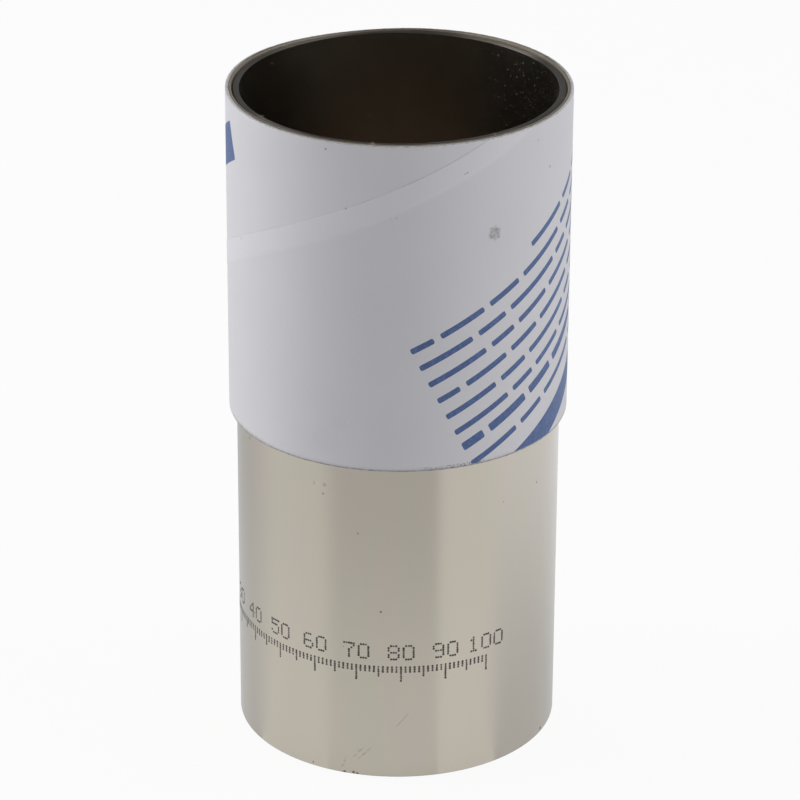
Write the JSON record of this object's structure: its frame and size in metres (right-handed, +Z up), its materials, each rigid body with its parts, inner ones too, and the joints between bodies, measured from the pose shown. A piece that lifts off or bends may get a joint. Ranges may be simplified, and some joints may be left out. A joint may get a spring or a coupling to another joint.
{
  "type": "shim stock roll",
  "caption": "Roll of thin stainless shim strip wound with an open bore, standing on end, held by a spiral-wound paper tube over its upper half.",
  "frame": {"origin": "centre of the end that the roll stands on", "axes": "+Z up the roll's axis, towards the end that the paper tube covers"},
  "size_m": [0.0752, 0.0752, 0.1505],
  "materials": {
    "stainless_strip": "satin rolled",
    "paper_tube": "matt coated paper"
  },
  "bodies": {
    "root": {"shim_coil": "stainless_strip", "sleeve": "paper_tube"}
  },
  "joints": []
}
